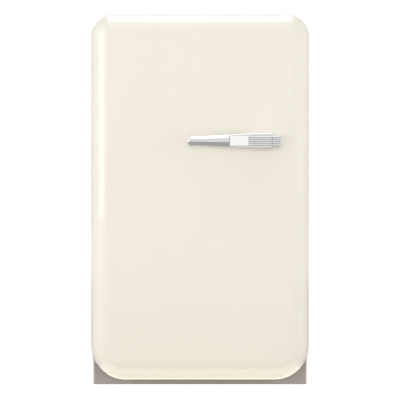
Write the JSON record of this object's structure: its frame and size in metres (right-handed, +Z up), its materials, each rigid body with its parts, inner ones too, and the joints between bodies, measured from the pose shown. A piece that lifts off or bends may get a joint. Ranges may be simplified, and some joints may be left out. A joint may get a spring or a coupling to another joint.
{
  "type": "mini fridge",
  "caption": "Compact free-standing fridge with a rounded enamelled door, chrome pull, glass shelves, lift-out door bins and an open-backed absorption cooling unit.",
  "frame": {"origin": "on the floor, under the middle of the object's box", "axes": "+Z up, the door faces -Y, +X to the right of someone facing the door"},
  "size_m": [0.404, 0.52, 0.7],
  "materials": {
    "cream_enamel": "gloss enamel on steel",
    "handle_chrome": "polished",
    "handle_satin": "satin",
    "white_plastic": "vacuum-formed",
    "insulation_foam": "rigid polyurethane foam",
    "seal": "soft extrusion",
    "clear_plastic": "clear moulding",
    "shelf_glass": "toughened",
    "plinth_grey": "satin",
    "zinc_steel": "zinc plated",
    "black_paint": "semi-gloss",
    "aluminium": "mill finish",
    "black_plastic": "moulded",
    "foot_rubber": "moulded"
  },
  "bodies": {
    "cabinet": {"cabinet_wrapper": "cream_enamel", "cabinet_liner": "white_plastic", "control_housing": "white_plastic", "drip_gutter": "white_plastic", "cabinet_foam": "insulation_foam", "lamp_lens": "clear_plastic", "plinth": "plinth_grey", "base_pan": "zinc_steel", "rear_panel": "zinc_steel", "hinge_plate_top": "zinc_steel", "hinge_plate_bottom": "zinc_steel", "hinge_pins": "zinc_steel", "hinge_screws": "zinc_steel", "unit_brackets": "zinc_steel", "boiler_clamp": "zinc_steel", "boiler": "black_paint", "condenser_tube": "black_paint", "absorber_coil": "black_paint", "absorber_tank": "black_paint", "heat_exchanger_tube": "black_paint", "heater_cartridge": "black_paint", "evaporator": "aluminium", "evaporator_block": "aluminium", "condenser_fins": "aluminium", "terminal_box": "black_plastic", "cord_gland": "black_plastic", "feet_rear": "foot_rubber"},
    "door": {"door_skin": "cream_enamel", "door_foam": "insulation_foam", "door_liner": "white_plastic", "door_gasket": "seal", "hinge_bush_top": "white_plastic", "hinge_bush_bottom": "white_plastic", "handle_bar": "handle_chrome", "handle_cap": "handle_chrome", "handle_pad": "handle_satin", "handle_ribs": "handle_chrome", "handle_body": "handle_chrome", "handle_bracket": "handle_chrome", "handle_foot": "handle_chrome", "handle_screws": "zinc_steel"},
    "door_bin_lower": {"door_bin_lower": "clear_plastic"},
    "door_bin_middle": {"door_bin_middle": "clear_plastic"},
    "door_bin_upper": {"door_bin_upper": "clear_plastic"},
    "shelf_lower": {"shelf_glass_lower": "shelf_glass", "shelf_trim_lower": "white_plastic"},
    "shelf_upper": {"shelf_glass_upper": "shelf_glass", "shelf_trim_upper": "white_plastic"},
    "thermostat_knob": {"thermostat_knob": "white_plastic"},
    "foot_front_left": {"foot_front_left": "foot_rubber"},
    "foot_front_right": {"foot_front_right": "foot_rubber"}
  },
  "joints": [
    {"name": "door_hinge", "type": "hinge", "parent": "cabinet", "child": "door", "pos_m": [-0.184, -0.188, 0.35], "axis": [0, 0, -1], "range_deg": [0, 105]},
    {"name": "door_bin_lower_lift", "type": "slide", "parent": "door", "child": "door_bin_lower", "axis": [0, 0, 1], "range_m": [0, 0.022]},
    {"name": "door_bin_middle_lift", "type": "slide", "parent": "door", "child": "door_bin_middle", "axis": [0, 0, 1], "range_m": [0, 0.022]},
    {"name": "door_bin_upper_lift", "type": "slide", "parent": "door", "child": "door_bin_upper", "axis": [0, 0, 1], "range_m": [0, 0.022]},
    {"name": "shelf_lower_slide", "type": "slide", "parent": "cabinet", "child": "shelf_lower", "axis": [0, -1, 0], "range_m": [0, 0.04]},
    {"name": "shelf_upper_slide", "type": "slide", "parent": "cabinet", "child": "shelf_upper", "axis": [0, -1, 0], "range_m": [0, 0.04]},
    {"name": "thermostat_turn", "type": "hinge", "parent": "cabinet", "child": "thermostat_knob", "pos_m": [0.03, -0.095, 0.638], "axis": [0, -1, 0], "range_deg": [0, 270]},
    {"name": "foot_front_left_turn", "type": "hinge", "parent": "cabinet", "child": "foot_front_left", "pos_m": [-0.16, -0.094, 0], "axis": [0, 0, 1], "range_deg": [-360, 360]},
    {"name": "foot_front_right_turn", "type": "hinge", "parent": "cabinet", "child": "foot_front_right", "pos_m": [0.16, -0.094, 0], "axis": [0, 0, 1], "range_deg": [-360, 360]}
  ]
}
